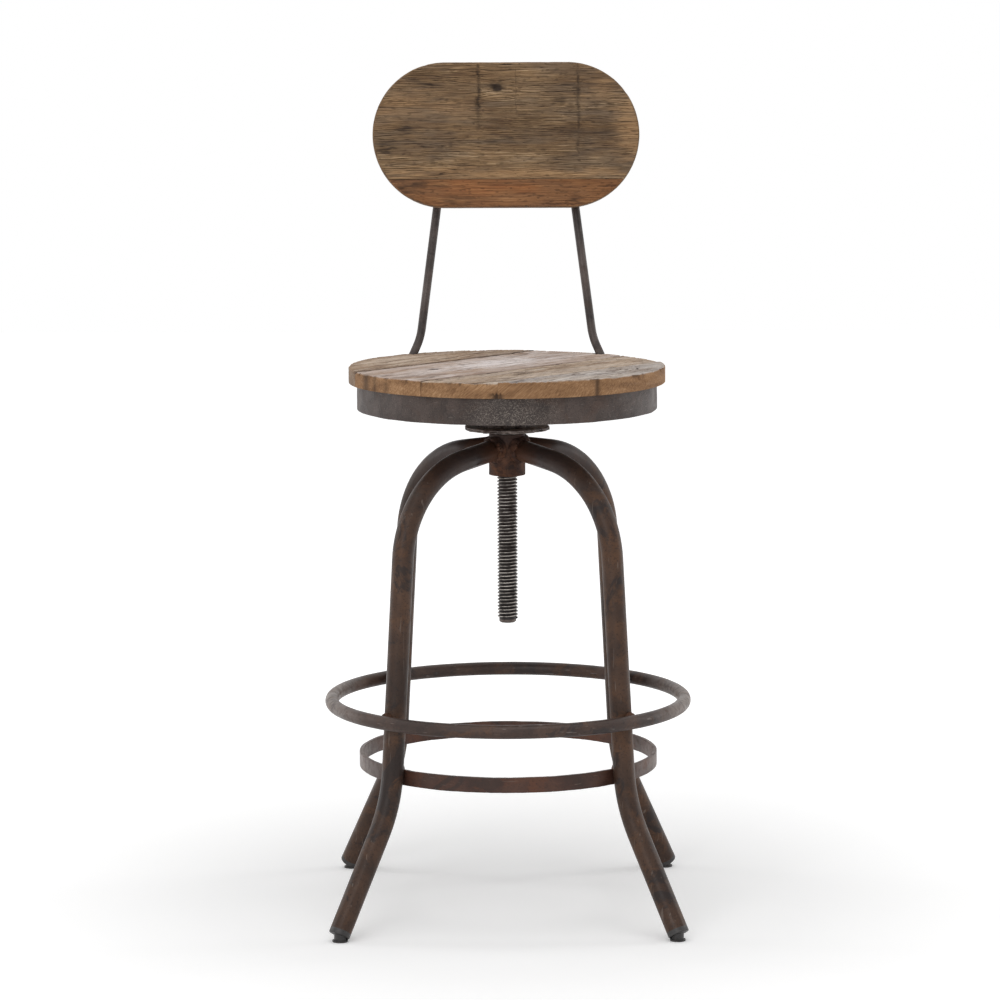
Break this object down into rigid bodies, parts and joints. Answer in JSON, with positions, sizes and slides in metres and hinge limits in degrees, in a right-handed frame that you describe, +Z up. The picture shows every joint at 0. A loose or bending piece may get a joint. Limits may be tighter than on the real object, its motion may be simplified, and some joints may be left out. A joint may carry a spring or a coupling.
{
  "type": "bar stool",
  "caption": "Screw-lift bar stool with a round wooden seat in a steel band, an oval wooden backrest on bent rods, bent tube legs, a footrest ring and a brace ring.",
  "frame": {"origin": "on the floor, on the spindle's axis", "axes": "+Z up, front of the stool -Y, backrest on the +Y side, +X to the right seen from the front"},
  "size_m": [0.4314, 0.4314, 0.9883],
  "materials": {
    "frame_steel": "dark brown lacquered tube with rust blotches and worn spots",
    "brace_steel": "red-brown rusted flat bar",
    "hub_steel": "rust-brown turned steel",
    "weld_steel": "rough weld bead under brown lacquer",
    "thread_steel": "oiled dark thread with bright worn crests",
    "flange_steel": "near-black painted plate",
    "band_steel": "dark grey-brown pitted steel band",
    "rod_steel": "dark grey-brown round bar, scuffed",
    "fastener_steel": "dull zinc",
    "seat_wood": "weathered grey-beige reclaimed boards with orange-tan sawn edges",
    "back_wood": "ridged grey-brown reclaimed board over an orange-brown one",
    "cap_plastic": "black moulded plastic"
  },
  "bodies": {
    "frame": {"hub_sleeve": "hub_steel", "threaded_bush": "hub_steel", "leg_front_left": "frame_steel", "leg_front_right": "frame_steel", "leg_rear_right": "frame_steel", "leg_rear_left": "frame_steel", "foot_cap_front_left": "cap_plastic", "foot_cap_front_right": "cap_plastic", "foot_cap_rear_right": "cap_plastic", "foot_cap_rear_left": "cap_plastic", "footrest_ring": "frame_steel", "brace_ring": "brace_steel", "hub_welds": "weld_steel", "footrest_welds": "weld_steel", "brace_welds": "weld_steel"},
    "thrust_ring": {"thrust_washer": "thread_steel"},
    "seat": {"rod_welds": "weld_steel", "spindle_screw": "thread_steel", "spindle_flange": "flange_steel", "riser_tube": "flange_steel", "mounting_plate": "flange_steel", "seat_bar_front": "flange_steel", "seat_bar_rear": "flange_steel", "seat_band": "band_steel", "back_rod_left": "rod_steel", "back_rod_right": "rod_steel", "backrest_tabs": "rod_steel", "plate_bolts": "fastener_steel", "seat_screws": "fastener_steel", "backrest_screws": "fastener_steel", "seat_board_rear_left": "seat_wood", "seat_board_middle_left": "seat_wood", "seat_board_middle_right": "seat_wood", "seat_board_front_right": "seat_wood", "backrest_board_upper": "back_wood", "backrest_board_lower": "back_wood"}
  },
  "joints": [
    {"name": "seat_turn", "type": "hinge", "parent": "frame", "child": "thrust_ring", "pos_m": [0, 0, 0.5645], "axis": [0, 0, 1], "range_deg": [0, 13500]},
    {"name": "seat_rise", "type": "slide", "parent": "thrust_ring", "child": "seat", "axis": [0, 0, 1], "range_m": [0, 0.15]}
  ],
  "couplings": [
    {"joint": "seat_rise", "follows": "seat_turn", "m_per_rad": 0.00063662}
  ]
}
